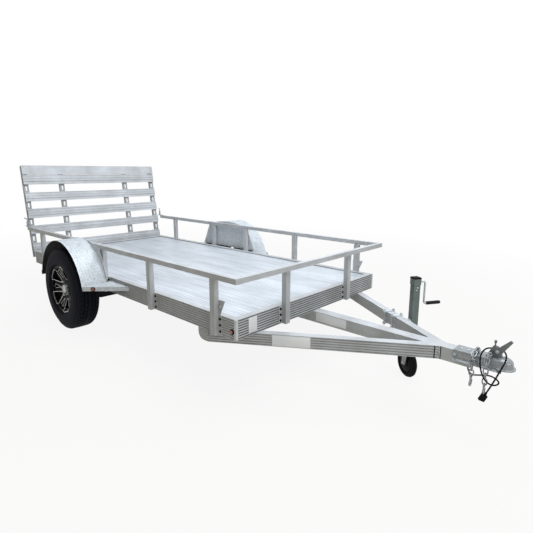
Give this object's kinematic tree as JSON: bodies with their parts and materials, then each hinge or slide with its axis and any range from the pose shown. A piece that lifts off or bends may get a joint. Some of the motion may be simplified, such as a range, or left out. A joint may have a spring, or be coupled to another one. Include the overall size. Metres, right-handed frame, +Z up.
{
  "type": "single-axle utility trailer",
  "caption": "Open aluminium utility trailer with a plank deck, side rails, tread-plate fenders, slatted ramp gate, ball coupler and caster jack.",
  "frame": {"origin": "on the ground under the middle of the whole box, the lead and plug included", "axes": "+X forward to the coupler, +Y to the trailer's left, +Z up"},
  "size_m": [4.534, 2.043, 1.2669],
  "materials": {
    "extruded_aluminium": "mill finish extrusion",
    "deck_aluminium": "mill finish planks",
    "trim_aluminium": "plain strip",
    "tread_plate": "bright diamond tread plate",
    "galvanised_steel": "hot-dip galvanised",
    "black_steel": "black paint",
    "zinc_steel": "zinc plated",
    "black_grip": "moulded",
    "black_rubber": "solid tyre on a moulded centre",
    "tyre_rubber": "road tyre",
    "wheel_black": "gloss black with machined edges",
    "amber_lens": "ribbed lens",
    "red_lens": "ribbed lens",
    "black_cable": "jacketed lead"
  },
  "bodies": {
    "root": {"axle_brackets": "black_steel", "axle_tube": "black_steel", "corner_trims": "trim_aluminium", "coupler_body": "zinc_steel", "coupler_latch": "zinc_steel", "cross_members": "extruded_aluminium", "deck_planks": "deck_aluminium", "fender_arch_left": "tread_plate", "fender_arch_right": "tread_plate", "fender_backing_left": "tread_plate", "fender_backing_right": "tread_plate", "fender_steps": "tread_plate", "front_rail": "extruded_aluminium", "gate_hinges": "zinc_steel", "gate_latches": "zinc_steel", "jack_mount": "zinc_steel", "marker_lamps": "amber_lens", "post_gussets": "extruded_aluminium", "posts_front": "extruded_aluminium", "posts_left": "extruded_aluminium", "posts_right": "extruded_aluminium", "rear_rail": "extruded_aluminium", "safety_chain_front": "zinc_steel", "safety_chain_rear": "zinc_steel", "side_rail_left": "extruded_aluminium", "side_rail_right": "extruded_aluminium", "tail_lamps": "red_lens", "tongue_centre": "extruded_aluminium", "tongue_side_left": "extruded_aluminium", "tongue_side_right": "extruded_aluminium", "top_rail_front": "extruded_aluminium", "top_rail_left": "extruded_aluminium", "top_rail_right": "extruded_aluminium", "torsion_arm_left": "black_steel", "torsion_arm_right": "black_steel", "wiring_lead": "black_cable", "wiring_plug": "black_cable"},
    "wheel_right": {"tyre_right": "tyre_rubber", "rim_right": "wheel_black", "hub_right": "galvanised_steel"},
    "wheel_left": {"tyre_left": "tyre_rubber", "rim_left": "wheel_black", "hub_left": "galvanised_steel"},
    "gate": {"gate_slats": "extruded_aluminium", "gate_top_plate": "extruded_aluminium", "gate_supports": "extruded_aluminium"},
    "jack": {"jack_tube": "zinc_steel", "jack_crank": "zinc_steel", "jack_grip": "black_grip"},
    "leg": {"jack_leg": "zinc_steel"},
    "caster": {"caster_fork": "zinc_steel"},
    "caster_roller": {"caster_wheel": "black_rubber"}
  },
  "joints": [
    {"name": "wheel_right_spin", "type": "hinge", "parent": "root", "child": "wheel_right", "pos_m": [-0.78678, -0.92, 0.332], "axis": [0, 1, 0], "continuous": true},
    {"name": "wheel_left_spin", "type": "hinge", "parent": "root", "child": "wheel_left", "pos_m": [-0.78678, 0.92, 0.332], "axis": [0, 1, 0], "continuous": true},
    {"name": "gate_fold", "type": "hinge", "parent": "root", "child": "gate", "pos_m": [-2.0562, 0, 0.31501], "axis": [0, -1, 0], "range_deg": [0, 96]},
    {"name": "jack_swing", "type": "hinge", "parent": "root", "child": "jack", "pos_m": [1.58622, 0.31348, 0.39695], "axis": [0.5415, 0.8404, 0.023], "range_deg": [0, 90]},
    {"name": "jack_lift", "type": "slide", "parent": "jack", "child": "leg", "axis": [0.0425, 0, -0.9991], "range_m": [-0.06, 0.1]},
    {"name": "caster_swivel", "type": "hinge", "parent": "leg", "child": "caster", "pos_m": [1.59306, 0.31348, 0.23609], "axis": [-0.0425, 0, 0.9991], "continuous": true},
    {"name": "caster_roll", "type": "hinge", "parent": "caster", "child": "caster_roller", "pos_m": [1.57021, 0.33191, 0.101], "axis": [0.5415, 0.8404, 0.023], "continuous": true}
  ]
}
